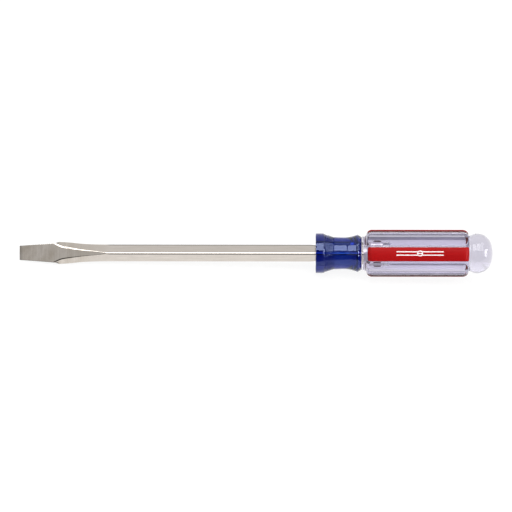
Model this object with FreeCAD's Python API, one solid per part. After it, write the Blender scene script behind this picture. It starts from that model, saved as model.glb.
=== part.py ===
import FreeCAD, Part
import math
import os

# Slotted screwdriver with a square shank and a clear fluted handle. Millimetres.
# The tool lies along +X. The blade's tip is centred on the origin and the butt points to +X.
# The bar's four flats and the handle's four flutes face +Z, -Z, +Y and -Y.
# It is drawn with the blade's flat level, then rolled an eighth of a turn about its axis.

# Lengths along the tool, from the tip
COLLAR_FRONT = 203.2
SPIGOT_FRONT = 208.0
NECK_END = 236.0
COLLAR_REAR = 234.4
GRIP_FRONT = 237.9
GRIP_REAR = 308.3
TANG_END = 249.5
DRILL_END = 255.7
BUTT_END = 324.9

# Shank and blade
BAR_WIDTH = 8.73
BAR_CORNER_RADIUS = 1.0
NECK_WIDTH = 8.1
TANG_RADIUS = 4.0
TANG_CHAMFER = 0.7
DRILL_CONE_LENGTH = 2.4
SPLINE_LEAD = 2.0
BAR_REACH = BAR_WIDTH / math.sqrt(2)
# (distance from the tip, centre to corner) where the forging swells the square bar
FORGED_REACH = [
    (-SPLINE_LEAD, 9.2),
    (18.0, 9.1),
    (24.3, 8.5),
    (27.6, 7.95),
    (31.4, 7.81),
    (35.5, 7.51),
    (41.7, 6.81),
    (47.9, 6.41),
    (54.1, 6.25),
    (62.0, BAR_REACH),
]
# (distance from the tip, half thickness) of the hammered and ground flat
HALF_THICKNESS = [
    (0.0, 0.65),
    (8.0, 0.92),
    (16.0, 1.28),
    (22.0, 1.66),
    (25.0, 2.1),
    (27.6, 2.95),
    (30.4, 3.62),
    (34.5, 4.08),
    (41.4, 4.38),
    (48.0, 4.68),
    (55.0, 5.16),
    (59.5, 5.77),
    (62.0, 6.5),
]
# (distance from the tip, half width) of the ground sides and of the wheel's run-out
HALF_WIDTH = [
    (-SPLINE_LEAD, 4.71),
    (0.0, 4.86),
    (12.0, 5.73),
    (23.0, 6.53),
    (25.0, 6.78),
    (26.5, 7.3),
    (28.5, 8.6),
]

# Two forged ears that stop the tang turning, and the pinch marks they were pressed out of
EAR_CENTRE = 245.5
EAR_LENGTH = 6.0
EAR_REACH = 5.4
EAR_THICKNESS = 2.2
PINCH_DEPTH = 0.8
PINCH_WIDTH = 2.4

# Collar
COLLAR_RADIUS = 13.65
COLLAR_EDGE_RADIUS = 0.4
BRIM_END = 208.3
# Points on the collar's outline, (distance from the tip, radius), from the brim to the rear lip
BRIM_ROLL = (208.85, 13.51)
CONE_START = (209.2, 13.2)
CONE_END = (215.9, 11.1)
CONE_FOOT = (216.5, 11.2)
HOLLOW = (219.4, 10.95)
WAIST = (222.3, 10.87)
FLARE = (226.95, 11.31)
FLARE_END = (231.6, 12.69)
LIP_CREST = (232.05, 12.82)
LIP_EDGE = (232.5, 12.66)
LIP_REAR_RADIUS = 11.3
GROOVE_COUNT = 5
GROOVE_FIRST = 209.95
GROOVE_PITCH = 1.36
GROOVE_DEPTH = 0.28
GROOVE_HALF_WIDTH = 0.55
MOUTH_CLEARANCE = 0.1
MOUTH_DEPTH = 0.3

# Handle
SPIGOT_RADIUS = 8.0
THROAT_RADIUS = 11.45
THROAT_END = 236.3
FOOT_START = 237.0
SHOULDER_FOOT_RADIUS = 12.1
GRIP_RADIUS = 16.1
SHOULDER_ROUND = GRIP_RADIUS - SHOULDER_FOOT_RADIUS
FLUTE_RADIUS = 36.8
FLUTE_FLOOR = 14.4
DOME_RADIUS = 13.6
DOME_CORNER_RADIUS = 10.0
DOME_CAP_RADIUS = 21.0
QUARTER = 90.0
EIGHTH = QUARTER / 2

# Coloured stripes and the white mark
STRIPE_WIDTH = 9.6
STRIPE_DEPTH = 1.6
SKIN_DEPTH = 1.3
STRIPE_FRONT = 238.8
STRIPE_REAR = 308.3
STRIPE_CORNER = 1.3
STRIPE_FLOOR = 13.2
STRIPE_PLACES = ["marked", "upper_back", "lower_back", "lower_front"]
MARKED_STRIPE = "stripe_" + STRIPE_PLACES[0]
MARK_CENTRE = (274.3, 0.6)
MARK_DEPTH = 0.2
RING_RADIUS = 2.0
RING_HOLE_RADIUS = 1.35
SLOT_WIDTH = 0.75
RULE_START = 1.5
RULE_LENGTH = 14.6
RULE_HEIGHT = 0.7
RULE_OFFSET = 1.15

BEYOND = 40.0
ALONG = FreeCAD.Vector(1, 0, 0)
ACROSS = FreeCAD.Vector(0, 1, 0)
UP = FreeCAD.Vector(0, 0, 1)
ORIGIN = FreeCAD.Vector(0, 0, 0)
DIAGONAL = FreeCAD.Vector(0, 1, 1) / math.sqrt(2)
OTHER_DIAGONAL = FreeCAD.Vector(0, 1, -1) / math.sqrt(2)


def at(x, out, direction=UP):
    return ALONG * x + direction * out


def line(start, end):
    return Part.makeLine(at(*start), at(*end))


def arc(start, centre, end):
    """Arc in the turning plane, shorter than half a circle, from start round centre to end."""
    radius = (at(*start) - at(*centre)).Length
    middle = ((at(*start) + at(*end)) / 2 - at(*centre)).normalize() * radius + at(*centre)
    return Part.Arc(at(*start), middle, at(*end)).toShape()


def bend(start, through, end):
    return Part.Arc(at(*start), at(*through), at(*end)).toShape()


def chain(points):
    return [line(a, b) for a, b in zip(points, points[1:])]


def turned(edges):
    """Solid of revolution round the tool's axis from a half profile that starts and ends on it."""
    start = edges[0].Vertexes[0].Point
    end = edges[-1].Vertexes[-1].Point
    wire = Part.Wire(edges + [Part.makeLine(end, start)])
    return Part.Face(wire).revolve(ORIGIN, ALONG, 360)


def spread_prism(half_widths, rear, across, along, leaving=None):
    """Outline that is the same on both sides of the axis, pushed through the tool along one direction."""
    x_first, w_first = half_widths[0]
    w_last = half_widths[-1][1]
    points = [at(x, w, across) for x, w in half_widths]
    heading = (points[1] - points[0]).normalize()
    leaving = leaving or (points[-1] - points[-2]).normalize()
    curve = Part.BSplineCurve()
    curve.interpolate(Points=points, InitialTangent=heading, FinalTangent=leaving)
    upper = [curve.toShape(), Part.makeLine(points[-1], at(rear, w_last, across))]
    lower = [edge.mirror(ORIGIN, across) for edge in upper]
    front = Part.makeLine(at(x_first, -w_first, across), points[0])
    back = Part.makeLine(at(rear, w_last, across), at(rear, -w_last, across))
    wire = Part.Wire(Part.__sortEdges__([front] + upper + [back] + lower))
    face = Part.Face(wire)
    face.translate(along * -BEYOND)
    return face.extrude(along * 2 * BEYOND)


def forged_bar():
    """Square bar standing on its corner, swollen near the blade, with its four long edges rounded."""
    half_sides = [(x, reach / math.sqrt(2)) for x, reach in FORGED_REACH]
    one = spread_prism(half_sides, COLLAR_FRONT, DIAGONAL, OTHER_DIAGONAL, ALONG)
    two = spread_prism(half_sides, COLLAR_FRONT, OTHER_DIAGONAL, DIAGONAL, ALONG)
    bar = one.common(two)
    long_edges = [e for e in bar.Edges if e.BoundBox.XLength > SPLINE_LEAD]
    return bar.makeFillet(BAR_CORNER_RADIUS, long_edges)


def square_block(width, front, rear):
    block = Part.makeBox(rear - front, width, width, at(front, 0) - (ACROSS + UP) * width / 2)
    block.rotate(ORIGIN, ALONG, EIGHTH)
    return block


def ear_pair():
    plate = Part.makeCylinder(EAR_LENGTH / 2, EAR_THICKNESS, ORIGIN - UP * EAR_THICKNESS / 2, UP)
    stretch = FreeCAD.Matrix()
    stretch.A22 = 2 * EAR_REACH / EAR_LENGTH
    plate = plate.transformGeometry(stretch)
    plate.translate(ALONG * EAR_CENTRE)
    return plate


def pinch_marks():
    """Two shallow grooves across the tang, above and below the ears."""
    notch = Part.makeCylinder(PINCH_WIDTH / 2, 4 * TANG_RADIUS, ACROSS * -2 * TANG_RADIUS, ACROSS)
    depth = TANG_RADIUS - PINCH_DEPTH + PINCH_WIDTH / 2
    return [notch.translated(at(EAR_CENTRE, side * depth)) for side in (-1, 1)]


def tang():
    neck = square_block(NECK_WIDTH, COLLAR_FRONT, NECK_END)
    inner = TANG_RADIUS - TANG_CHAMFER
    profile = [
        (NECK_END - SPLINE_LEAD, 0),
        (NECK_END - SPLINE_LEAD, TANG_RADIUS),
        (TANG_END - TANG_CHAMFER, TANG_RADIUS),
        (TANG_END, inner),
        (TANG_END, 0),
    ]
    pin = turned(chain(profile)).fuse(ear_pair())
    return neck.fuse(pin.cut(pinch_marks())).removeSplitter()


def make_shank():
    blade = forged_bar()
    blade = blade.common(spread_prism(HALF_THICKNESS, COLLAR_FRONT, UP, ACROSS))
    blade = blade.common(spread_prism(HALF_WIDTH, COLLAR_FRONT, ACROSS, UP))
    return blade.fuse(tang())


def cone_radius(x):
    share = (x - CONE_START[0]) / (CONE_END[0] - CONE_START[0])
    return CONE_START[1] + share * (CONE_END[1] - CONE_START[1])


def grooved_cone():
    """Cone behind the brim, with rounded ring grooves side by side."""
    edges = []
    here = CONE_START
    for i in range(GROOVE_COUNT):
        x = GROOVE_FIRST + i * GROOVE_PITCH
        start = (x - GROOVE_HALF_WIDTH, cone_radius(x - GROOVE_HALF_WIDTH))
        end = (x + GROOVE_HALF_WIDTH, cone_radius(x + GROOVE_HALF_WIDTH))
        edges.append(line(here, start))
        edges.append(bend(start, (x, cone_radius(x) - GROOVE_DEPTH), end))
        here = end
    return edges + chain([here, CONE_END, CONE_FOOT])


def collar_blank():
    edge_x, edge_r = COLLAR_FRONT + COLLAR_EDGE_RADIUS, COLLAR_RADIUS - COLLAR_EDGE_RADIUS
    edges = chain([(COLLAR_FRONT, 0), (COLLAR_FRONT, edge_r)])
    edges.append(arc((COLLAR_FRONT, edge_r), (edge_x, edge_r), (edge_x, COLLAR_RADIUS)))
    edges.append(line((edge_x, COLLAR_RADIUS), (BRIM_END, COLLAR_RADIUS)))
    edges.append(bend((BRIM_END, COLLAR_RADIUS), BRIM_ROLL, CONE_START))
    edges += grooved_cone()
    edges.append(bend(CONE_FOOT, HOLLOW, WAIST))
    edges.append(bend(WAIST, FLARE, FLARE_END))
    edges.append(bend(FLARE_END, LIP_CREST, LIP_EDGE))
    edges += chain([LIP_EDGE, (COLLAR_REAR, LIP_REAR_RADIUS), (COLLAR_REAR, 0)])
    return turned(edges)


def make_collar():
    """Sleeve over the handle's spigot, with a square hole round the shank in its front wall."""
    spigot = Part.makeCylinder(SPIGOT_RADIUS, BEYOND, at(SPIGOT_FRONT, 0), ALONG)
    neck = square_block(NECK_WIDTH, COLLAR_FRONT, SPIGOT_FRONT)
    mouth_width = BAR_WIDTH + 2 * MOUTH_CLEARANCE
    mouth = square_block(mouth_width, COLLAR_FRONT, COLLAR_FRONT + MOUTH_DEPTH)
    return collar_blank().cut([spigot, neck, mouth])


def handle_blank():
    """The handle as turned, before the flutes are cut."""
    foot, top = SHOULDER_FOOT_RADIUS, GRIP_RADIUS
    front_centre = (GRIP_FRONT + SHOULDER_ROUND, foot)
    rear_centre = (GRIP_REAR - SHOULDER_ROUND, foot)
    corner_r = DOME_RADIUS - DOME_CORNER_RADIUS
    cap_centre = (BUTT_END - DOME_CAP_RADIUS, 0)
    between = DOME_CAP_RADIUS - DOME_CORNER_RADIUS
    corner_centre = (cap_centre[0] + math.sqrt(between**2 - corner_r**2), corner_r)
    stretch = DOME_CAP_RADIUS / between
    cap_edge = (cap_centre[0] + (corner_centre[0] - cap_centre[0]) * stretch, corner_r * stretch)
    crown = (corner_centre[0], DOME_RADIUS)
    groove_x = corner_centre[0] - math.sqrt(DOME_CORNER_RADIUS**2 - (foot - corner_r) ** 2)
    edges = chain(
        [
            (SPIGOT_FRONT, 0),
            (SPIGOT_FRONT, SPIGOT_RADIUS),
            (COLLAR_REAR, SPIGOT_RADIUS),
            (COLLAR_REAR, THROAT_RADIUS),
            (THROAT_END, THROAT_RADIUS),
            (FOOT_START, foot),
            (GRIP_FRONT, foot),
        ]
    )
    edges.append(arc((GRIP_FRONT, foot), front_centre, (front_centre[0], top)))
    edges.append(line((front_centre[0], top), (rear_centre[0], top)))
    edges.append(arc((rear_centre[0], top), rear_centre, (GRIP_REAR, foot)))
    edges.append(line((GRIP_REAR, foot), (groove_x, foot)))
    edges.append(arc((groove_x, foot), corner_centre, crown))
    edges.append(arc(crown, corner_centre, cap_edge))
    edges.append(arc(cap_edge, cap_centre, (BUTT_END, 0)))
    return turned(edges)


def grip_below(depth):
    """The handle under a given depth: the grip's profile moved in."""
    foot, top = SHOULDER_FOOT_RADIUS, GRIP_RADIUS - depth
    front, rear = GRIP_FRONT + depth, GRIP_REAR - depth
    front_centre = (GRIP_FRONT + SHOULDER_ROUND, foot)
    rear_centre = (GRIP_REAR - SHOULDER_ROUND, foot)
    edges = chain([(SPIGOT_FRONT, 0), (SPIGOT_FRONT, foot), (front, foot)])
    edges.append(arc((front, foot), front_centre, (front_centre[0], top)))
    edges.append(line((front_centre[0], top), (rear_centre[0], top)))
    edges.append(arc((rear_centre[0], top), rear_centre, (rear, foot)))
    edges += chain([(rear, foot), (BUTT_END, foot), (BUTT_END, 0)])
    return turned(edges)


def flutes():
    cutters = []
    for i in range(len(STRIPE_PLACES)):
        cutter = Part.makeCylinder(
            FLUTE_RADIUS, BEYOND * 2, at(GRIP_FRONT - 1, FLUTE_FLOOR + FLUTE_RADIUS), ALONG
        )
        cutter.rotate(ORIGIN, ALONG, EIGHTH + i * QUARTER)
        cutters.append(cutter)
    return cutters


def stripe_layers(blank):
    """Red skin and the pale layer behind it, let into one land and running over both shoulders."""
    length = STRIPE_REAR - STRIPE_FRONT
    corner = at(STRIPE_FRONT, STRIPE_FLOOR) - ACROSS * STRIPE_WIDTH / 2
    plug = Part.makeBox(length, STRIPE_WIDTH, BEYOND, corner)
    uprights = [e for e in plug.Edges if e.BoundBox.ZLength > STRIPE_WIDTH]
    plug = blank.common(plug.makeFillet(STRIPE_CORNER, uprights))
    under_skin = grip_below(SKIN_DEPTH)
    return plug.cut(under_skin), plug.common(under_skin).cut(grip_below(STRIPE_DEPTH))


def mark_box(length, height, x, y):
    corner = FreeCAD.Vector(x - length / 2, y - height / 2, 0)
    return Part.makeBox(length, height, BEYOND, corner)


def make_mark(blank):
    """White mark of no make: a slotted screw head between pairs of thin rules."""
    x, y = MARK_CENTRE
    centre = FreeCAD.Vector(x, y, 0)
    ring = Part.makeCylinder(RING_RADIUS, BEYOND, centre)
    ring = ring.cut(Part.makeCylinder(RING_HOLE_RADIUS, BEYOND, centre))
    shapes = [mark_box(RING_RADIUS + RING_HOLE_RADIUS, SLOT_WIDTH, x, y)]
    shift = RULE_START + RULE_LENGTH / 2
    for end in (-shift, shift):
        for side in (-RULE_OFFSET, RULE_OFFSET):
            shapes.append(mark_box(RULE_LENGTH, RULE_HEIGHT, x + end, y + side))
    under = Part.makeCylinder(GRIP_RADIUS - MARK_DEPTH, BUTT_END, ORIGIN, ALONG)
    return ring.fuse(shapes).removeSplitter().common(blank.cut(under))


def air_pocket():
    """End of the drilled hole, past the tang."""
    wall_end = DRILL_END - DRILL_CONE_LENGTH
    start = TANG_END - 2 * TANG_CHAMFER
    profile = [
        (start, 0),
        (start, TANG_RADIUS),
        (wall_end, TANG_RADIUS),
        (DRILL_END, 0),
    ]
    return turned(chain(profile))


def build():
    blank = handle_blank()
    shank = make_shank()
    mark = make_mark(blank)
    inlays = {}
    for kind, layer in zip(("stripe_", "backing_"), stripe_layers(blank)):
        for i, place in enumerate(STRIPE_PLACES):
            inlays[kind + place] = layer.rotated(ORIGIN, ALONG, -i * QUARTER)
    nodes = {"shank": shank, "collar": make_collar(), "white_mark": mark}
    nodes["handle_body"] = blank.cut(flutes() + list(inlays.values()) + [air_pocket(), shank])
    nodes.update(inlays)
    nodes[MARKED_STRIPE] = inlays[MARKED_STRIPE].cut(mark)
    return {name: shape.rotated(ORIGIN, ALONG, EIGHTH) for name, shape in nodes.items()}


os.makedirs("parts", exist_ok=True)
for name, shape in build().items():
    shape.exportStep("parts/" + name + ".step")
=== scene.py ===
import math

import bpy
from mathutils import Matrix, Vector


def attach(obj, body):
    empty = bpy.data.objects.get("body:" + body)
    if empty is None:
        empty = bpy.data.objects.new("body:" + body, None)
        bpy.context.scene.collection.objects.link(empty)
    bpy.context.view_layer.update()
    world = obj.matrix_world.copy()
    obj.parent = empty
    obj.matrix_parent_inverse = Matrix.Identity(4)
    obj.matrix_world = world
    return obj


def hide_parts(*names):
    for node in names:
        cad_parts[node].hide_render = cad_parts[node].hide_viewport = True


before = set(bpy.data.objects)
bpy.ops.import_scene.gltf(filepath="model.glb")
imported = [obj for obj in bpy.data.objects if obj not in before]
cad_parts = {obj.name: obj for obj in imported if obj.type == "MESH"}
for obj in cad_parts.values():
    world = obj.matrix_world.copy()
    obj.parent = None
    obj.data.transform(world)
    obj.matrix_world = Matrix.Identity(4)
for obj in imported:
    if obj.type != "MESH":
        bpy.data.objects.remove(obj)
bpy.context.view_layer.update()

ROOT = "root"
MM = 0.001

# The blade's flat and the marked stripe face an eighth of a turn from straight up. LEVEL lies in
# the flat, across the tool, and SQUARE stands square out of it.
ROLL = math.radians(45)
LEVEL = (0, math.cos(ROLL), math.sin(ROLL))
SQUARE = (0, -math.sin(ROLL), math.cos(ROLL))

# Lengths are in millimetres as far as the colours. The points of an outline are
# (distance from the tip, distance out from the axis).

# Collar: brim, cone with its ring grooves, waist, flare and rear lip
COLLAR_FRONT, COLLAR_REAR = 203.2, 234.4
CONE_START, CONE_END = (209.2, 13.2), (215.9, 11.1)
BRIM_FACE = (COLLAR_FRONT, 13.3)
BRIM_CORNER, BRIM_ROUND = (203.6, 13.25), 0.4
BRIM_TOP = [(205.0, 13.65), (208.3, 13.65)]
BRIM_FALL = [BRIM_TOP[-1], (208.82, 13.52), CONE_START]
CONE_FOOT = [(216.25, 11.07), (216.6, 11.13)]
WAIST = [CONE_FOOT[-1], (219.4, 10.95), (222.3, 10.87)]
FLARE = [WAIST[-1], (226.95, 11.31), (231.6, 12.69)]
REAR_LIP = [FLARE[-1], (232.05, 12.82), (232.5, 12.66)]
REAR_CHAMFER = [(234.1, 11.62), (234.3, 11.4), (COLLAR_REAR, 11.1)]
GROOVE_START, GROOVE_PITCH, GROOVE_DEPTH, GROOVE_COUNT = 209.27, 1.36, 0.3, 5
# A groove takes up this share of its pitch on each side of its middle
GROOVE_SHARE = 0.27
COLLAR_SIDES = 192

# Clear handle: throat, fluted grip with rounded shoulders, neck groove and dome
JOINT_GAP = 0.04
GRIP_FRONT, GRIP_REAR = 237.9, 308.3
GRIP_RADIUS, FOOT_RADIUS, THROAT_RADIUS = 16.1, 12.1, 11.45
SHOULDER_ROUND = GRIP_RADIUS - FOOT_RADIUS
# The CAD's stripes stand this far out of the clear skin
STRIPE_PROUD = 0.02
THROAT_FRONT = COLLAR_REAR + JOINT_GAP
THROAT_LIP = [(THROAT_FRONT, 10.9), (THROAT_FRONT + 0.25, THROAT_RADIUS)]
THROAT_FLARE = [
    (GRIP_FRONT - 1.6, THROAT_RADIUS), (GRIP_FRONT - 1.15, 11.6), (GRIP_FRONT - 0.75, FOOT_RADIUS),
]
THROAT_FOOT = (GRIP_FRONT - 0.3, FOOT_RADIUS + 0.02)
GRIP_STATIONS = (250, 262, 274, 286, 296)
FLUTE_RADIUS, FLUTE_FLOOR = 36.8, 14.4
EDGE_SOFTNESS = 0.22
BUTT_END = 324.9
DOME_RADIUS, DOME_CORNER, DOME_CAP = 13.6, 10.0, 21.0
# The cap's outline stops this many degrees short of the pole, and a fan closes it
POLE_ANGLE = 0.4
# Angles round the grip, in degrees from a land's middle, close together at its edge
LAND_FAN = [0, 3, 6, 9, 12, 15, 17.5, 19.5, 20.6]
EDGE_FAN = [21.0 + 0.25 * i for i in range(13)]
FLUTE_FAN = [24.5, 25.5, 27, 29, 31.5, 34, 37, 40, 43]

# Steps along the short bends, waist, flare, shoulders, dome and its cap, and each ring groove
BEND_STEPS, WAIST_STEPS, FLARE_STEPS = 6, 8, 16
SHOULDER_STEPS, DOME_STEPS, CAP_STEPS, GROOVE_STEPS = 26, 48, 14, 20
# Edges that turn by more than this, in degrees, look sharp
TURNED_SHARP, FORGED_SHARP = 32, 40

# Shank, as (distance from the tip, value): reach to the corners of the bar, half the flat's
# thickness, half the ground width, and how far the flat's edge is eased
REACH = [
    (-1.0, 9.15), (18.0, 9.1), (24.3, 8.5), (27.6, 7.95), (31.4, 7.81), (35.5, 7.51), (41.7, 6.81),
    (47.9, 6.41), (54.1, 6.25), (62.0, 6.173), (203.2, 6.173), (203.4, 5.7), (240.0, 5.7),
]
HALF_THICKNESS = [
    (0.0, 0.65), (8.0, 0.92), (16.0, 1.28), (22.0, 1.66), (25.0, 2.1), (27.6, 2.9), (30.4, 3.6),
    (34.5, 4.07), (41.4, 4.38), (48.0, 4.68), (55.0, 5.16), (59.5, 5.77), (62.0, 6.5), (240.0, 7.0),
]
HALF_WIDTH = [
    (0.0, 4.86), (12.0, 5.73), (23.0, 6.53), (25.0, 6.78), (26.5, 7.3), (28.5, 8.6), (240.0, 9.0),
]
FLAT_EASE = [
    (0.0, 0.1), (22.0, 0.15), (24.0, 0.8), (28.0, 0.95), (34.0, 0.7), (42.0, 0.35), (52.0, 0.2),
    (240.0, 0.2),
]
CORNER_EASE, GRIND_EASE = 1.17, 0.08
BLADE_END, SHOULDER_END = 26.0, 62.0
FORGED_STATIONS = [0.4 * i for i in range(1, 160)]
BAR_STATIONS = [64.0 + 4.0 * i for i in range(43)]
TIP_CHAMFER, TIP_CHAMFER_LENGTH = 0.1, 0.12
SHANK_SIDES = 320
# Points crowd towards the edges of a thin section, down to this limit
CROWDING, CROWDING_LIMIT = 1.3, 0.22
# Table smoothing: half the averaged stretch, and the samples on each side
EASE_REACH, EASE_SAMPLES = 1.5, 8
# A section's radius is searched for by halving, from this many times its corner's reach
SEARCH_STEPS, SEARCH_MARGIN = 22, 1.1

# Tang, with two ears and two pinch marks, and the air at the end of its hole
NECK_END, TANG_END, DRILL_END = 236.0, 249.5, 255.7
TANG_RADIUS, TANG_CHAMFER = 4.0, 0.5
EAR_CENTRE, EAR_HALF_LENGTH, EAR_REACH, EAR_HALF_THICKNESS = 245.5, 3.0, 5.3, 1.1
# 2 makes the ear's end a plain ellipse, and a higher power makes it squarer
EAR_POWER = 4
PINCH_HALF_WIDTH, PINCH_DEPTH = 1.2, 0.8
TANG_STATIONS = [NECK_END - 1.0, 238.0, 241.0] + [242.5 + 0.25 * i for i in range(25)]
POCKET_MOUTH = [(TANG_END - 0.5, 3.4), (TANG_END - 0.1, 3.8), (TANG_END + 0.3, TANG_RADIUS)]
DRILL_WALL_END = DRILL_END - 2.4
POCKET_END = [(DRILL_WALL_END - 0.3, TANG_RADIUS), (DRILL_WALL_END, 3.9), (DRILL_END - 0.15, 0.25)]
POCKET_SIDES = 64

# Colours. A pair is the two ends of a surface's own variation.
PLATE = (0.60, 0.55, 0.50), (0.68, 0.63, 0.58)
GROUND = (0.565, 0.515, 0.465), (0.66, 0.61, 0.555)
STAIN = (0.82, 0.80, 0.76), (1, 1, 1)
# Painted shade on the blade's ground sides
PAINTED_SIDE_SHADE = (0.16, 0.1536, 0.1472, 1)
# Painted shade: a dark line beside each corner of the bar
PAINTED_EDGE_SHADE = (0.2, 0.192, 0.184, 1)
PIN = (0.70, 0.66, 0.72), (0.85, 0.81, 0.87)
BURR = (0.10, 0.06, 0.07), (0.25, 0.18, 0.20)
RED = (0.26, 0.003, 0.004), (0.31, 0.005, 0.006)
# Painted shade on the flanks of the stripes
PAINTED_FLANK_SHADE = (0.05, 0.012, 0.018, 1)
# Painted light: pale colour and glow on the far stripe's flanks
PAINTED_LIT_FAR_SIDE = (0.42, 0.39, 0.46, 1)
# Painted light and shade on the pale layers: lit and dim colours, and glows that stand in for light
# through the clear plastic
PALE_LIT = (0.84, 0.81, 0.86), (0.92, 0.89, 0.93)
PALE_DIM = (0.47, 0.44, 0.51), (0.55, 0.52, 0.59)
GLOW_LIT, GLOW_DIM = (0.50, 0.50, 0.52), (0.13, 0.13, 0.15)
PAINTED_FAR_GLOW = (0.5, 0.5, 0.525)
FOIL = (0.58, 0.54, 0.55), (0.78, 0.74, 0.75)
PAPER = (0.07, 0.07, 0.07), (0.10, 0.10, 0.10)
BLACK = (0, 0, 0)
WHITE = (1, 1, 1, 1)
# Colour that each plastic lets through, and how strongly it takes up the rest, per metre
CLEAR_TINT, CLEAR_DENSITY = (0.78, 0.765, 0.83, 1), 84
BLUE_TINT, BLUE_DENSITY = (0.045, 0.39, 0.825, 1), 420
PLASTIC_IOR, BLUE_IOR = 1.48, 1.68
BLUE_GLOSS = (0.55, 0.66, 1.0, 1)
PAPER_LIGHT = 0.91

# Where the colours change, in millimetres unless another unit is said
# The blade is darker over this length at the tip, down to this share of its colour
DARK_TIP_LENGTH, DARK_TIP_SHARE = 3.0, 0.62
EAR_FADE = 0.3
# Painted shade: a dark line beside a corner of the bar, in degrees from the corner: rise, top, fall
# and end.
# It fades out over the first stretch of the forged shoulder.
EDGE_SHADE_SPAN = (-10.0, -8.5, -3.0, -1.0)
EDGE_SHADE_FADE = 3.0
# How far a skin faces along a direction, from 0 to 1, where a side's painted colour starts and is
# full: painted shade on the blade's ground sides and the stripes' flanks, painted light on the far
# stripe's flanks
SIDE_SHADE_SLANT, FLANK_SLANT = (0.4, 0.7), (0.6, 0.9)
# The far pale layer has painted shade past this edge. The other layers have painted shade nowhere or
# all over.
FAR_SHADE_EDGE, SHADE_BLUR = 1.1, 0.5
NO_SHADE_EDGE, FULL_SHADE_EDGE = GRIP_RADIUS + 1, -GRIP_RADIUS - 1
# Painted light: of the far stripe's two sides, the lower one glows fully and the upper one by this
# share
UPPER_PAINTED_GLOW_SHARE, PAINTED_GLOW_FADE = 0.4, 1.0

# Floor: the two points under the tool that it rests on, as (distance from the tip, height)
SUPPORT_A, SUPPORT_B = (24.3, -6.03), (203.6, -13.66)
FLOOR_REACH, FLOOR_GAP = 3000.0, 0.02

# Surroundings, by lean: degrees about the tool's axis from straight out of the marked stripe,
# positive upwards. A pane's span is the part of its direction that lies along the tool.
WALLS = [
    (-180, (0.9,) * 3), (-96, (0.95,) * 3), (-84, (0.98, 0.95, 0.90)), (-74, (0.14,) * 3),
    (-14, (0.10,) * 3), (-7, (0.63,) * 3), (12, (0.65,) * 3), (66, (0.68,) * 3),
    (80, (0.82,) * 3), (96, (0.85,) * 3), (110, (0.9,) * 3), (180, (0.9,) * 3),
]
KEY_LEAN, KEY_PANES, KEY_STRENGTH = (20, 62), [(-0.12, 0.32), (-0.6, -0.19)], 4.6
WEAK_LEAN, WEAK_PANE, WEAK_SHARE = (18, 78), (0.38, 0.66), 0.6
CARD_LEAN, CARD_PANE, CARD_SHADE = (-20, 19), (-0.09, 0.12), 0.82
BUTT_BOX, BUTT_STRENGTH = [(0.79, 0.97), (-0.24, 0.32), (0.0, 1.2)], 9.0
LEAN_BLUR, PANE_BLUR = 1.5, 0.02

# Camera, in metres. The sensor is in millimetres.
VIEW_ELEVATION, VIEW_ROLL = math.radians(47.6), math.radians(0.07)
VIEW_DISTANCE, FRAME_WIDTH, SENSOR = 2.5, 0.35172, 36.0
CLIP = (0.05, 50)
AXIS_SHIFT = -0.0057
AIM = Vector((162.3, 0.0, 0.0)) * MM


# Outlines and skins


def arc(centre, radius, start, stop, count):
    """Points on an arc. Angles are in degrees, 0 along the tool and 90 outwards."""
    points = []
    for i in range(count + 1):
        a = math.radians(start + (stop - start) * i / count)
        points.append((centre[0] + radius * math.cos(a), centre[1] + radius * math.sin(a)))
    return points


def through(first, middle, last, count):
    """Points on a shallow curve through three points."""
    points = []
    for i in range(count + 1):
        t = i / count
        a, b, c = (1 - t) * (1 - 2 * t), 4 * t * (1 - t), t * (2 * t - 1)
        points.append(tuple(a * p + b * q + c * r for p, q, r in zip(first, middle, last)))
    return points


def place(x, radius, angle):
    """Point in the frame. The angle is about the axis, from straight out of the blade's flat."""
    across, out = radius * math.sin(angle), radius * math.cos(angle)
    y = across * math.cos(ROLL) - out * math.sin(ROLL)
    z = across * math.sin(ROLL) + out * math.cos(ROLL)
    return (x * MM, y * MM, z * MM)


def band_faces(rings, sides):
    """Faces that join each ring of points to the next."""
    faces = []
    for i in range(rings - 1):
        for j in range(sides):
            k = (j + 1) % sides
            faces.append((i * sides + j, (i + 1) * sides + j, (i + 1) * sides + k, i * sides + k))
    return faces


def new_object(name, verts, faces, sharp=None):
    """Mesh object, smooth but for edges that turn by more than the sharp angle, in degrees."""
    mesh = bpy.data.meshes.new(name)
    mesh.from_pydata(verts, [], faces)
    mesh.validate()
    if sharp is not None:
        mesh.shade_smooth()
        mesh.set_sharp_from_angle(angle=math.radians(sharp))
    obj = bpy.data.objects.new(name, mesh)
    bpy.context.scene.collection.objects.link(obj)
    return obj


def turned_skin(name, outline, angles, radius_at=None):
    """Closed skin round an outline, with a fan of faces at each end."""
    verts = []
    for x, r in outline:
        for a in angles:
            verts.append(place(x, radius_at(r, a) if radius_at else r, a))
    sides, last = len(angles), len(outline) - 1
    faces = band_faces(len(outline), sides)
    for i, flip in ((0, False), (last, True)):
        hub = len(verts)
        verts.append(place(outline[i][0], 0, 0))
        for j in range(sides):
            k = (j + 1) % sides
            pair = (i * sides + k, i * sides + j) if flip else (i * sides + j, i * sides + k)
            faces.append((hub, *pair))
    return new_object(name, verts, faces, TURNED_SHARP)


def forged_skin(name, rings):
    """Closed skin over rings of points, with a flat face at each end."""
    sides = len(rings[0])
    faces = band_faces(len(rings), sides)
    faces.append(tuple(range(sides)))
    faces.append(tuple(range((len(rings) - 1) * sides, len(rings) * sides))[::-1])
    return new_object(name, [p for ring in rings for p in ring], faces, FORGED_SHARP)


def even_angles(count):
    return [2 * math.pi * i / count for i in range(count)]


# Handle and collar


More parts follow.
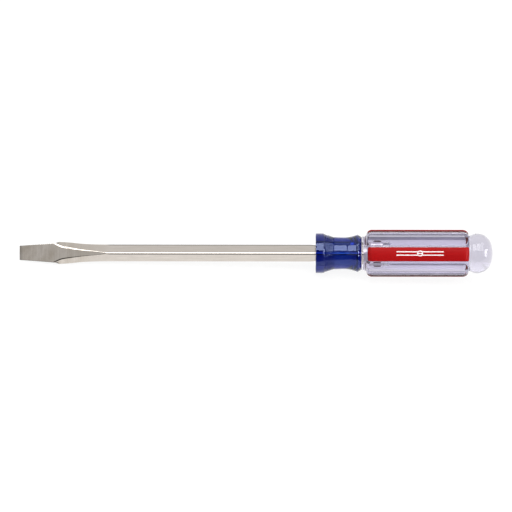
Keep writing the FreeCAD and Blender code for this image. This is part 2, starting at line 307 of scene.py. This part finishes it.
def grip_angles():
    """Angles round the grip, close together at the lands' edges."""
    half = LAND_FAN + EDGE_FAN + FLUTE_FAN
    quarter = [-a for a in reversed(half[1:])] + half
    return [math.radians(90 * q + a) for q in range(4) for a in quarter + [45]]


def flute_radius(angle):
    """Distance from the axis to the nearest flute's surface at this angle."""
    off = (math.degrees(angle) % 90) - 45
    centre = FLUTE_FLOOR + FLUTE_RADIUS
    across = centre * math.sin(math.radians(off))
    return centre * math.cos(math.radians(off)) - math.sqrt(FLUTE_RADIUS**2 - across**2)


def fluted(r, angle):
    """The smaller of the turned radius and the flute, with the edge between them eased."""
    f = flute_radius(angle)
    h = max(EDGE_SOFTNESS - abs(r - f), 0) / EDGE_SOFTNESS
    return min(r, f) - h * h * EDGE_SOFTNESS / 4


def clear_outline():
    front = (GRIP_FRONT + SHOULDER_ROUND, FOOT_RADIUS)
    rear = (GRIP_REAR - SHOULDER_ROUND, FOOT_RADIUS)
    bend = SHOULDER_ROUND - STRIPE_PROUD
    corner_r = DOME_RADIUS - DOME_CORNER
    between = DOME_CAP - DOME_CORNER
    cap_x = BUTT_END - DOME_CAP
    corner = (cap_x + math.sqrt(between**2 - corner_r**2), corner_r)
    meet = math.degrees(math.asin(corner_r / between))
    groove = 180 - math.degrees(math.asin((FOOT_RADIUS - corner_r) / DOME_CORNER))
    points = THROAT_LIP + through(*THROAT_FLARE, BEND_STEPS) + [THROAT_FOOT]
    points += arc(front, bend, 180, 90, SHOULDER_STEPS)
    points += [(x, GRIP_RADIUS - STRIPE_PROUD) for x in GRIP_STATIONS]
    points += arc(rear, bend, 90, 0, SHOULDER_STEPS)
    points += arc(corner, DOME_CORNER, groove, meet, DOME_STEPS)
    points += arc((cap_x, 0), DOME_CAP, meet, POLE_ANGLE, CAP_STEPS)[1:]
    return points


def grooved_cone():
    slope = (CONE_END[1] - CONE_START[1]) / (CONE_END[0] - CONE_START[0])
    points = []
    for i in range(GROOVE_COUNT * GROOVE_STEPS + 1):
        t = i / GROOVE_STEPS
        x = GROOVE_START + GROOVE_PITCH * t
        off = min(abs(t % 1 - 0.5) / GROOVE_SHARE, 1.0)
        depth = GROOVE_DEPTH * (0.5 + 0.5 * math.cos(math.pi * off))
        points.append((x, CONE_START[1] + slope * (x - CONE_START[0]) - depth))
    return points


def collar_outline():
    points = [BRIM_FACE] + arc(BRIM_CORNER, BRIM_ROUND, 165, 90, BEND_STEPS) + BRIM_TOP
    points += through(*BRIM_FALL, BEND_STEPS)[1:]
    points += grooved_cone() + CONE_FOOT
    points += through(*WAIST, WAIST_STEPS)[1:]
    points += through(*FLARE, FLARE_STEPS)[1:]
    points += through(*REAR_LIP, BEND_STEPS)[1:]
    return points + REAR_CHAMFER


def drill_pocket():
    """Air left at the end of the drilled hole, with its skin facing inwards."""
    obj = turned_skin("drill_pocket", POCKET_MOUTH + POCKET_END, even_angles(POCKET_SIDES))
    obj.data.flip_normals()
    return obj


# Shank


def table(points, x):
    """Value at x on a line through (x, value) points."""
    for (x0, v0), (x1, v1) in zip(points, points[1:]):
        if x <= x1:
            return v0 + (v1 - v0) * (x - x0) / (x1 - x0)
    return points[-1][1]


def eased(points, x):
    """Value of the table at x, averaged over a short stretch so that its corners are eased."""
    total = 0
    for i in range(-EASE_SAMPLES, EASE_SAMPLES + 1):
        sample = x + EASE_REACH * i / EASE_SAMPLES
        total += table(points, min(max(sample, points[0][0]), points[-1][0]))
    return total / (2 * EASE_SAMPLES + 1)


def blend(a, b, width):
    """The larger of two distances, with the edge where they meet rounded."""
    h = max(width - abs(a - b), 0) / width
    return max(a, b) + h * h * width / 4


def bar_section(x):
    """Corner reach, half thickness, half width and flat-edge easing at x."""
    return tuple(eased(points, x) for points in (REACH, HALF_THICKNESS, HALF_WIDTH, FLAT_EASE))


def bar_radius(section, angle):
    """Distance from the axis to the bar's skin. The angle is from the flat's normal."""
    reach, thick, wide, ease = section
    u, v = abs(math.sin(angle)), abs(math.cos(angle))
    low, high = 0.0, reach * SEARCH_MARGIN
    for _ in range(SEARCH_STEPS):
        r = (low + high) / 2
        a, b = r * u, r * v
        flank = blend(a + b - reach, b - a - reach, CORNER_EASE * math.sqrt(2))
        flank = blend(flank, a - b - reach, CORNER_EASE * math.sqrt(2)) / math.sqrt(2)
        ground = blend(flank, b - thick, ease)
        if blend(ground, a - wide, GRIND_EASE) > 0:
            high = r
        else:
            low = r
    return low


def tang_radius(x, angle):
    """Distance from the axis to the tang's skin. The angle is from the flat's normal."""
    u, v = abs(math.sin(angle)), abs(math.cos(angle))
    r = TANG_RADIUS
    pinch = abs(x - EAR_CENTRE) / PINCH_HALF_WIDTH
    if pinch < 1:
        floor = TANG_RADIUS - PINCH_DEPTH + PINCH_HALF_WIDTH * (1 - math.sqrt(1 - pinch * pinch))
        r = min(r, floor / max(v, 1e-6))
    off = (x - EAR_CENTRE) / EAR_HALF_LENGTH
    if abs(off) < 1:
        reach = EAR_REACH * (1 - off**EAR_POWER) ** (1 / EAR_POWER)
        r = max(r, min(reach / max(u, 1e-6), EAR_HALF_THICKNESS / max(v, 1e-6)))
    return r


def section_angles(thin):
    """Angles from the flat's normal, spread so that a flat section gets even spacing."""
    angles = []
    for i in range(SHANK_SIDES):
        t = 2 * math.pi * (i + 0.5) / SHANK_SIDES
        angles.append(math.atan2(math.sin(t), thin * math.cos(t)))
    return angles


def shank():
    """Forged square bar with its ground blade, in one skin as far as the collar."""
    rings = []
    for x in [0.0, TIP_CHAMFER_LENGTH] + FORGED_STATIONS + BAR_STATIONS + [NECK_END]:
        section = bar_section(x)
        inset = TIP_CHAMFER if x == 0.0 else 0.0
        thin = max(min(section[1] / section[0] * CROWDING, 1.0), CROWDING_LIMIT)
        rings.append([place(x, bar_radius(section, a) - inset, a) for a in section_angles(thin)])
    return forged_skin("steel_shank", rings)


def tang():
    """The end of the shank inside the handle."""
    rings = []
    for x in TANG_STATIONS + [TANG_END - TANG_CHAMFER, TANG_END]:
        inset = TANG_CHAMFER if x == TANG_END else 0.0
        rings.append([place(x, tang_radius(x, a) - inset, a) for a in section_angles(1.0)])
    return forged_skin("tang_end", rings)


# Materials


class Tree:
    """Node tree of a material or a world, with a short call for each kind of node."""

    def __init__(self, owner):
        owner.use_nodes = True
        self.nodes, self.links = owner.node_tree.nodes, owner.node_tree.links

    def feed(self, socket, value):
        """Give a socket a number or a colour, or link it to another socket."""
        if isinstance(value, bpy.types.NodeSocket):
            self.links.new(value, socket)
        else:
            socket.default_value = value

    def node(self, kind, inputs, **settings):
        """New node, with its sockets fed by name or number after it is set up."""
        node = self.nodes.new("ShaderNode" + kind)
        for name, value in settings.items():
            setattr(node, name, value)
        for key, value in inputs.items():
            self.feed(node.inputs[key], value)
        return node

    def noise(self, cells, stretch, detail=4.0, rough=0.55):
        """Noise in object space, in cells per metre, stretched along each axis."""
        where = self.node("TexCoord", {}).outputs["Object"]
        mapping = self.node("Mapping", {"Vector": where, "Scale": stretch})
        inputs = {"Vector": mapping.outputs["Vector"], "Scale": cells, "Detail": detail}
        return self.node("TexNoise", {**inputs, "Roughness": rough}).outputs["Fac"]

    def ramp(self, source, stops):
        """Colour at the source's value, from (value, colour) stops."""
        node = self.node("ValToRGB", {"Fac": source})
        elements = node.color_ramp.elements
        elements.remove(elements[1])
        elements[0].position = stops[0][0]
        elements[0].color = (*stops[0][1], 1)
        for position, colour in stops[1:]:
            elements.new(position).color = (*colour, 1)
        return node.outputs["Color"]

    def varied(self, source, pair, low=0.3, high=0.7):
        """Colour that goes from one of a pair to the other with the source."""
        return self.ramp(source, [(low, pair[0]), (high, pair[1])])

    def uneven(self, source, low, high):
        """Number that goes from low to high with the source."""
        return self.varied(source, ((low,) * 3, (high,) * 3))

    def mix(self, a, b, factor=1, kind="MIX"):
        """Colour b over colour a."""
        inputs = {"Factor": factor, 6: a, 7: b}
        return self.node("Mix", inputs, data_type="RGBA", blend_type=kind).outputs[2]

    def maths(self, kind, *values):
        """Result of a sum, product or angle."""
        return self.node("Math", dict(enumerate(values)), operation=kind).outputs[0]

    def vector(self, kind, *values):
        """Outputs of a vector sum or product."""
        return self.node("VectorMath", dict(enumerate(values)), operation=kind).outputs

    def scaled(self, source, low, high, start=0.0, stop=1.0, curve="LINEAR"):
        """The source's range low to high, in its own units, spread over start to stop."""
        inputs = {"Value": source, "From Min": low, "From Max": high, "To Min": start, "To Max": stop}
        return self.node("MapRange", inputs, interpolation_type=curve).outputs[0]

    def window(self, value, span, blur):
        """1 where the value lies in the span and 0 outside it, with soft ends."""
        low, high = span
        rise = self.scaled(value, low - blur, low + blur, curve="SMOOTHSTEP")
        fall = self.scaled(value, high + blur, high - blur, curve="SMOOTHSTEP")
        return self.maths("MULTIPLY", rise, fall)

    def offset(self, direction):
        """Distance from the axis along a direction, in metres."""
        where = self.node("TexCoord", {}).outputs["Object"]
        return self.vector("DOT_PRODUCT", where, direction)["Value"]

    def slant(self, direction, low, high):
        """0 where the skin faces square to a direction, rising to 1 where it faces along it."""
        normal = self.node("NewGeometry", {}).outputs["True Normal"]
        turn = self.vector("DOT_PRODUCT", normal, direction)["Value"]
        return self.scaled(self.maths("ABSOLUTE", turn), low, high)


class Surface(Tree):
    """Material with its shader's sockets within reach."""

    def __init__(self, name):
        self.material = bpy.data.materials.new(name)
        super().__init__(self.material)
        self.sockets = self.nodes["Principled BSDF"].inputs

    def set(self, **values):
        """Set shader sockets. A socket's name is written with _ for each space."""
        for name, value in values.items():
            self.feed(self.sockets[name.replace("_", " ")], value)

    def bump(self, source, strength, distance):
        inputs = {"Height": source, "Strength": strength, "Distance": distance}
        self.set(Normal=self.node("Bump", inputs).outputs["Normal"])

    def along(self):
        """Distance from the tip along the tool, in metres."""
        where = self.node("TexCoord", {}).outputs["Object"]
        return self.node("SeparateXYZ", {0: where}).outputs["X"]


def plated_steel():
    """Bright plate over drawn and ground steel, with a ground and slightly stained blade."""
    steel = Surface("plated_steel")
    streak = steel.noise(cells=900, stretch=(0.06, 1, 1))
    grind = steel.noise(cells=700, stretch=(1, 0.08, 0.08), detail=5)
    cloud = steel.noise(cells=110, stretch=(1, 1, 1), detail=3)
    x = steel.along()
    near_tip = steel.scaled(x, BLADE_END * MM, SHOULDER_END * MM, 1, 0)
    colour = steel.mix(steel.varied(streak, PLATE), steel.varied(grind, GROUND), near_tip)
    colour = steel.mix(colour, steel.varied(cloud, STAIN, 0.35, 0.65), near_tip, "MULTIPLY")
    # Darker over the last few millimetres towards the tip
    tip_darkening = steel.scaled(x, 0.0, DARK_TIP_LENGTH * MM, DARK_TIP_SHARE, 1)
    colour = steel.mix(colour, tip_darkening, kind="MULTIPLY")
    # Painted shade on the ground sides of the blade
    colour = steel.mix(colour, PAINTED_SIDE_SHADE, painted_side_shade(steel, x))
    # Painted shade: a dark line beside each corner of the bar
    colour = steel.mix(colour, PAINTED_EDGE_SHADE, painted_edge_line(steel, x))
    steel.set(Metallic=1, Base_Color=colour, Roughness=steel.uneven(streak, 0.05, 0.08))
    steel.bump(grind, strength=0.012, distance=0.0002)
    return steel.material


def painted_edge_line(steel, along):
    """1 on the painted shade line beside each of the bar's four corners, and 0 elsewhere."""
    angle = steel.maths("ARCTAN2", steel.offset(LEVEL), steel.offset(SQUARE))
    corner = steel.maths("WRAP", angle, math.pi / 4, -math.pi / 4)
    rise, top, fall, end = [math.radians(a) for a in EDGE_SHADE_SPAN]
    mark = steel.maths(
        "MULTIPLY", steel.scaled(corner, rise, top), steel.scaled(corner, end, fall)
    )
    bar = steel.scaled(along, (SHOULDER_END - EDGE_SHADE_FADE) * MM, SHOULDER_END * MM)
    return steel.maths("MULTIPLY", mark, bar)


def painted_side_shade(steel, along):
    """1 on the ground sides of the blade, which get a painted shade, and 0 elsewhere."""
    near = steel.scaled(along, (BLADE_END + 1) * MM, BLADE_END * MM)
    return steel.maths("MULTIPLY", steel.slant(LEVEL, *SIDE_SHADE_SLANT), near)


def bare_steel():
    """Bare steel of the tang, with dark ears."""
    steel = Surface("bare_steel")
    streak = steel.noise(cells=500, stretch=(0.1, 1, 1))
    across = steel.maths("ABSOLUTE", steel.offset(LEVEL))
    ear = steel.scaled(across, TANG_RADIUS * MM, (TANG_RADIUS + EAR_FADE) * MM)
    colour = steel.mix(steel.varied(streak, PIN), steel.varied(streak, BURR), ear)
    steel.set(Metallic=1, Base_Color=colour, Roughness=steel.uneven(streak, 0.35, 0.5))
    return steel.material


def clear_plastic(name, tint, density, rough=0.02):
    """Plastic that light goes through, with faint lines along the tool."""
    plastic = Surface(name)
    lines = plastic.noise(cells=240, stretch=(0.15, 1, 1), detail=3)
    plastic.set(Base_Color=WHITE, Transmission_Weight=1, IOR=PLASTIC_IOR)
    plastic.set(Roughness=plastic.uneven(lines, rough, rough * 2))
    plastic.bump(lines, strength=0.01, distance=0.0002)
    volume = plastic.node("VolumeAbsorption", {"Color": tint, "Density": density})
    plastic.links.new(volume.outputs[0], plastic.nodes["Material Output"].inputs["Volume"])
    return plastic


def blue_plastic():
    plastic = clear_plastic("blue_acetate", BLUE_TINT, BLUE_DENSITY)
    plastic.set(IOR=BLUE_IOR, Specular_IOR_Level=1.0, Specular_Tint=BLUE_GLOSS)
    return plastic.material


def red_plastic(name, flank, side, shade_scale=1.0, shine=0.08, painted_glow=None):
    """Red plastic. Its flanks, which point along the flank direction, have the side colour, which is
    painted shade, except on the far stripe, where it is painted light.
    """
    plastic = Surface(name)
    cloud = plastic.noise(cells=60, stretch=(0.3, 1, 1), detail=5)
    grain = plastic.noise(cells=1800, stretch=(0.4, 1, 1), detail=3)
    # A shade scale below 1 darkens the red as a painted shade
    face = plastic.varied(cloud, [(r * shade_scale, g, b) for r, g, b in RED])
    mask = plastic.slant(flank, *FLANK_SLANT)
    plastic.set(Base_Color=plastic.mix(face, side, mask), Specular_IOR_Level=shine)
    # Painted light: the far stripe's flanks glow
    if painted_glow:
        across = plastic.offset(flank)
        lit = plastic.scaled(across, PAINTED_GLOW_FADE * MM, -PAINTED_GLOW_FADE * MM, UPPER_PAINTED_GLOW_SHARE, 1.0)
        lit = plastic.maths("MULTIPLY", lit, mask)
        plastic.set(Emission_Color=plastic.varied(lit, (BLACK, painted_glow), 0, 1), Emission_Strength=1)
    plastic.set(Roughness=plastic.uneven(grain, 0.34, 0.46))
    plastic.bump(grain, strength=0.04, distance=0.0001)
    return plastic.material


def pale_plastic(name, edge):
    """Off-white plastic with painted light: it glows as if lit through the clear plastic, with
    painted shade past an edge, in mm.
    """
    plastic = Surface(name)
    cloud = plastic.noise(cells=90, stretch=(0.3, 1, 1), detail=4)
    across = plastic.offset(LEVEL)
    shade = plastic.scaled(across, (edge - SHADE_BLUR) * MM, (edge + SHADE_BLUR) * MM)
    colour = plastic.mix(plastic.varied(cloud, PALE_LIT), plastic.varied(cloud, PALE_DIM), shade)
    # Painted light: the glow stands in for light through the clear plastic, dimmer in the painted
    # shade
    painted_glow = plastic.varied(shade, (GLOW_LIT, GLOW_DIM), 0, 1)
    plastic.set(Base_Color=colour, Emission_Color=painted_glow, Emission_Strength=1)
    plastic.set(Roughness=plastic.uneven(cloud, 0.35, 0.5), Specular_IOR_Level=0.2)
    return plastic.material


def white_foil():
    foil = Surface("white_foil")
    speck = foil.noise(cells=2500, stretch=(1, 1, 1), detail=4)
    foil.set(Base_Color=foil.varied(speck, FOIL, 0.35, 0.65), Roughness=foil.uneven(speck, 0.4, 0.55))
    return foil.material


def studio_paper():
    paper = Surface("studio_paper")
    fibre = paper.noise(cells=300, stretch=(1, 1, 1), detail=4)
    paper.set(Base_Color=paper.varied(fibre, PAPER), Roughness=0.9, Specular_IOR_Level=0.1)
    paper.set(Emission_Color=WHITE, Emission_Strength=PAPER_LIGHT)
    return paper.material


# Object


def dress(obj, material):
    obj.data.materials.clear()
    obj.data.materials.append(material)


def add_piece(obj, material, slot, *replaced):
    """Dress a piece, let it ride the body and say which CAD nodes it replaces."""
    dress(obj, material)
    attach(obj, ROOT)
    if replaced:
        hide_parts(*replaced)


def make_handle():
    clear = clear_plastic("clear_acetate", CLEAR_TINT, CLEAR_DENSITY).material
    drilled = clear_plastic("drilled_acetate", CLEAR_TINT, CLEAR_DENSITY, rough=0.2).material
    body = turned_skin("clear_handle", clear_outline(), grip_angles(), fluted)
    add_piece(body, clear, "clear_acetate", "handle_body")
    add_piece(drill_pocket(), drilled, "clear_acetate")
    sleeve = turned_skin("blue_collar", collar_outline(), even_angles(COLLAR_SIDES))
    add_piece(sleeve, blue_plastic(), "blue_acetate", "collar")


def make_shank():
    add_piece(shank(), plated_steel(), "plated_steel", "shank")
    add_piece(tang(), bare_steel(), "plated_steel")


def dress_inlays():
    """Colour the CAD's own stripes, the pale layers behind them and the mark, with painted shade and
    painted light on the stripes and layers.
    """
    # The two side stripes are a darker copy of the red, with painted shade on faces and flanks
    shaded_side_stripes = red_plastic("red_acetate_sides_painted_shade", SQUARE, PAINTED_FLANK_SHADE, shade_scale=0.6, shine=0.0)
    # The far stripe's flanks are pale and glow: painted light
    far_red_painted_light = red_plastic("red_acetate_far_painted_light", LEVEL, PAINTED_LIT_FAR_SIDE, painted_glow=PAINTED_FAR_GLOW)
    # Painted light: this layer glows all over
    pale = pale_plastic("pale_acetate", NO_SHADE_EDGE)
    looks = {
        "stripe_marked": red_plastic("red_acetate", LEVEL, PAINTED_FLANK_SHADE),
        "stripe_upper_back": shaded_side_stripes,
        "stripe_lower_front": shaded_side_stripes,
        "stripe_lower_back": far_red_painted_light,
        "backing_marked": pale,
        "backing_upper_back": pale,
        # Painted shade all over this layer
        "backing_lower_front": pale_plastic("pale_acetate_near", FULL_SHADE_EDGE),
        # Painted shade on this layer past its edge
        "backing_lower_back": pale_plastic("pale_acetate_far", FAR_SHADE_EDGE),
        "white_mark": white_foil(),
    }
    for name, material in looks.items():
        dress(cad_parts[name], material)


# Studio


def make_floor():
    slope = (SUPPORT_B[1] - SUPPORT_A[1]) / (SUPPORT_B[0] - SUPPORT_A[0])
    corners = []
    for x, y in ((-1, -1), (1, -1), (1, 1), (-1, 1)):
        along = SUPPORT_A[0] + x * FLOOR_REACH
        height = SUPPORT_A[1] + slope * x * FLOOR_REACH - FLOOR_GAP
        corners.append((along * MM, y * FLOOR_REACH * MM, height * MM))
    floor = new_object("floor", corners, [(0, 1, 2, 3)])
    dress(floor, studio_paper())


def make_surroundings():
    """Pale walls, a dark strip, a grey card, the panes of the main light and a box of light."""
    world = bpy.data.worlds.new("studio")
    bpy.context.scene.world = world
    tree = Tree(world)
    direction = tree.node("TexCoord", {}).outputs["Generated"]
    x = tree.node("SeparateXYZ", {0: direction}).outputs["X"]
    across = tree.vector("DOT_PRODUCT", direction, LEVEL)["Value"]
    out = tree.vector("DOT_PRODUCT", direction, SQUARE)["Value"]
    lean = tree.maths("MULTIPLY", tree.maths("ARCTAN2", across, out), 180 / math.pi)
    turn = tree.scaled(lean, -180, 180)
    walls = tree.ramp(turn, [((degrees + 180) / 360, colour) for degrees, colour in WALLS])

    card = tree.maths(
        "MULTIPLY", tree.window(lean, CARD_LEAN, LEAN_BLUR), tree.window(x, CARD_PANE, PANE_BLUR)
    )
    shade = tree.maths("SUBTRACT", 1.0, tree.maths("MULTIPLY", card, CARD_SHADE))

    panes = tree.maths("ADD", *(tree.window(x, pane, PANE_BLUR) for pane in KEY_PANES))
    key = tree.maths("MULTIPLY", tree.window(lean, KEY_LEAN, LEAN_BLUR), panes)
    weak = tree.maths(
        "MULTIPLY", tree.window(lean, WEAK_LEAN, LEAN_BLUR), tree.window(x, WEAK_PANE, PANE_BLUR)
    )
    key = tree.maths("ADD", key, tree.maths("MULTIPLY", weak, WEAK_SHARE))
    box = 1.0
    for value, span in zip((x, across, out), BUTT_BOX):
        box = tree.maths("MULTIPLY", box, tree.window(value, span, PANE_BLUR))
    lights = tree.maths(
        "ADD", tree.maths("MULTIPLY", key, KEY_STRENGTH), tree.maths("MULTIPLY", box, BUTT_STRENGTH)
    )

    shaded = tree.vector("MULTIPLY", walls, shade)[0]
    total = tree.vector("ADD", shaded, lights)[0]
    seen = tree.node("LightPath", {}).outputs["Is Camera Ray"]
    background = tree.nodes["Background"].inputs
    tree.feed(background["Color"], tree.mix(total, WHITE, seen))
    tree.feed(background["Strength"], 1.0)


def make_camera():
    data = bpy.data.cameras.new("camera")
    data.sensor_width = SENSOR
    data.lens = SENSOR * VIEW_DISTANCE / FRAME_WIDTH
    data.clip_start, data.clip_end = CLIP
    data.shift_y = AXIS_SHIFT
    camera = bpy.data.objects.new("camera", data)
    bpy.context.scene.collection.objects.link(camera)
    back = Vector((0, -math.cos(VIEW_ELEVATION), math.sin(VIEW_ELEVATION)))
    camera.location = AIM + back * VIEW_DISTANCE
    level = Vector((1, 0, 0))
    right = level * math.cos(VIEW_ROLL) + back.cross(level) * math.sin(VIEW_ROLL)
    camera.rotation_mode = "QUATERNION"
    axes = Matrix((right, back.cross(right), back)).transposed()
    camera.rotation_quaternion = axes.to_quaternion()
    bpy.context.scene.camera = camera


def set_view():
    view = bpy.context.scene.view_settings
    view.view_transform = "Standard"
    view.look = "None"


make_handle()
make_shank()
dress_inlays()
make_floor()
make_surroundings()
make_camera()
set_view()
